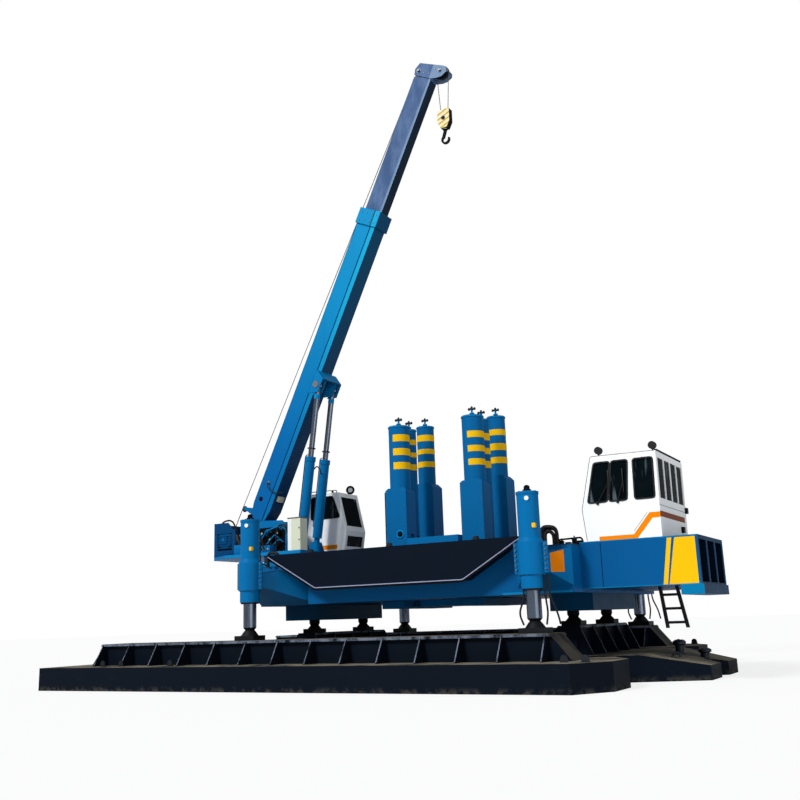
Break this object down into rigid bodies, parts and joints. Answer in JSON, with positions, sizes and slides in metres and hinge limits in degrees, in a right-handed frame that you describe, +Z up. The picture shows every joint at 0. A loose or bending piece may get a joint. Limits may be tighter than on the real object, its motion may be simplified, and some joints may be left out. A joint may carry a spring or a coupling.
{
  "type": "hydraulic static pile driver rig",
  "caption": "Walking pile-pressing rig: platform on jacks over long and short pontoons, clamping unit between pressing cylinders, telescopic slewing crane, operator's cab",
  "frame": {"origin": "point on the ground where the pressed pile enters, under the middle of the clamping unit", "axes": "+Z up along the pile; +X along the long pontoons towards the operator's cab end; +Y to the far side, away from that cab"},
  "size_m": [17.7, 11.12, 18.4444],
  "materials": {
    "blue_paint": "glossy enamel",
    "tower_paint": "glossy enamel",
    "tip_paint": "satin enamel",
    "deck_paint": "worn satin",
    "tank_paint": "satin",
    "pontoon_paint": "worn satin",
    "cab_paint": "glossy enamel",
    "cabinet_paint": "satin",
    "ladder_paint": "satin",
    "hook_paint": "worn satin",
    "cab_glass": "clear",
    "interior_plastic": "matte",
    "lamp_plastic": "matte",
    "rod_chrome": "polished",
    "jaw_steel": "worn",
    "rope_steel": "dull"
  },
  "bodies": {
    "platform": {"main_frame": "blue_paint", "deck_plate": "deck_paint", "near_side_tank": "tank_paint", "far_side_tank": "tank_paint", "outriggers": "blue_paint", "jack_sleeves": "blue_paint", "near_service_box": "blue_paint", "far_service_box": "blue_paint", "power_pack": "blue_paint", "ladder": "ladder_paint", "right_carrier_beam": "blue_paint", "left_carrier_beam": "blue_paint", "press_towers_right": "tower_paint", "press_towers_left": "tower_paint", "main_cab_shell": "cab_paint", "main_cab_glass": "cab_glass", "main_cab_interior": "interior_plastic", "work_lamps": "lamp_plastic", "crane_pedestal": "blue_paint"},
    "cab_door": {"main_cab_door": "cab_paint", "main_cab_door_glass": "cab_glass"},
    "near_jacks": {"near_jack_rods": "rod_chrome"},
    "far_jacks": {"far_jack_rods": "rod_chrome"},
    "near_boat": {"near_long_pontoon": "pontoon_paint"},
    "far_boat": {"far_long_pontoon": "pontoon_paint"},
    "right_boat": {"right_short_pontoon": "pontoon_paint"},
    "left_boat": {"left_short_pontoon": "pontoon_paint"},
    "press_unit": {"clamp_box": "blue_paint", "press_rods": "rod_chrome"},
    "right_jaw": {"jaw_right": "jaw_steel"},
    "left_jaw": {"jaw_left": "jaw_steel"},
    "crane": {"crane_turntable": "blue_paint", "crane_cab_shell": "cab_paint", "crane_cab_glass": "cab_glass", "crane_cab_interior": "interior_plastic", "winch_frame": "blue_paint", "crane_cabinet": "cabinet_paint"},
    "crane_door": {"crane_cab_door": "cab_paint", "crane_cab_door_glass": "cab_glass"},
    "drum": {"winch_drum": "blue_paint"},
    "boom": {"boom_base": "blue_paint"},
    "tip": {"boom_tip": "tip_paint", "head_sheaves": "jaw_steel"},
    "barrels": {"luff_barrels": "blue_paint"},
    "rods": {"luff_rods": "rod_chrome"},
    "falls": {"hoist_falls": "rope_steel"},
    "hook": {"hook_block": "hook_paint"}
  },
  "joints": [
    {"name": "near_jack_lift", "type": "slide", "parent": "platform", "child": "near_jacks", "axis": [0, 0, 1], "range_m": [-0.5, 0.5]},
    {"name": "far_jack_lift", "type": "slide", "parent": "platform", "child": "far_jacks", "axis": [0, 0, 1], "range_m": [-0.5, 0.5]},
    {"name": "near_long_walk", "type": "slide", "parent": "near_jacks", "child": "near_boat", "axis": [1, 0, 0], "range_m": [0, 3.6]},
    {"name": "far_long_walk", "type": "slide", "parent": "far_jacks", "child": "far_boat", "axis": [1, 0, 0], "range_m": [0, 3.6]},
    {"name": "right_short_walk", "type": "slide", "parent": "platform", "child": "right_boat", "axis": [0, 1, 0], "range_m": [-0.35, 0.1]},
    {"name": "left_short_walk", "type": "slide", "parent": "platform", "child": "left_boat", "axis": [0, 1, 0], "range_m": [-0.35, 0.1]},
    {"name": "press_stroke", "type": "slide", "parent": "platform", "child": "press_unit", "axis": [0, 0, 1], "range_m": [-1.5, 0]},
    {"name": "right_jaw_grip", "type": "slide", "parent": "press_unit", "child": "right_jaw", "axis": [-1, 0, 0], "range_m": [0, 0.12]},
    {"name": "left_jaw_grip", "type": "slide", "parent": "press_unit", "child": "left_jaw", "axis": [1, 0, 0], "range_m": [0, 0.12]},
    {"name": "cab_door_swing", "type": "hinge", "parent": "platform", "child": "cab_door", "pos_m": [6.25, -0.28, 4.1], "axis": [0, 0, -1], "range_deg": [0, 100]},
    {"name": "crane_slew", "type": "hinge", "parent": "platform", "child": "crane", "pos_m": [-5.35, -0.5, 3.55], "axis": [0, 0, 1], "continuous": true},
    {"name": "crane_door_swing", "type": "hinge", "parent": "crane", "child": "crane_door", "pos_m": [-4.46, 1.47, 4.5], "axis": [0, 0, -1], "range_deg": [0, 100]},
    {"name": "boom_luff", "type": "hinge", "parent": "crane", "child": "boom", "pos_m": [-6.48, -0.5, 4.48], "axis": [0, -1, 0], "range_deg": [-32, 14]},
    {"name": "boom_telescope", "type": "slide", "parent": "boom", "child": "tip", "axis": [0.4352, 0, 0.9003], "range_m": [-3.9, 2.5]},
    {"name": "luff_barrel_tilt", "type": "hinge", "parent": "crane", "child": "barrels", "pos_m": [-4.6, -0.5, 3.85], "axis": [0, -1, 0], "range_deg": [-32, 14]},
    {"name": "luff_rod_stroke", "type": "slide", "parent": "barrels", "child": "rods", "axis": [0.141, 0, 0.99], "range_m": [-1.35, 0.6]},
    {"name": "fall_swing", "type": "hinge", "parent": "tip", "child": "falls", "pos_m": [0.63009, -0.5, 17.97019], "axis": [0, -1, 0], "range_deg": [-15, 33]},
    {"name": "hook_lower", "type": "slide", "parent": "falls", "child": "hook", "axis": [0, 0, -1], "range_m": [0, 4]},
    {"name": "drum_turn", "type": "hinge", "parent": "crane", "child": "drum", "pos_m": [-7.42, -0.5, 4.18], "axis": [0, 1, 0], "continuous": true}
  ],
  "couplings": [
    {"joint": "left_jaw_grip", "follows": "right_jaw_grip", "ratio": 1},
    {"joint": "luff_barrel_tilt", "follows": "boom_luff", "ratio": 0.99},
    {"joint": "luff_rod_stroke", "follows": "boom_luff", "m_per_rad": 1.89},
    {"joint": "fall_swing", "follows": "boom_luff", "ratio": -1},
    {"joint": "drum_turn", "follows": "hook_lower", "rad_per_m": 10.42}
  ]
}
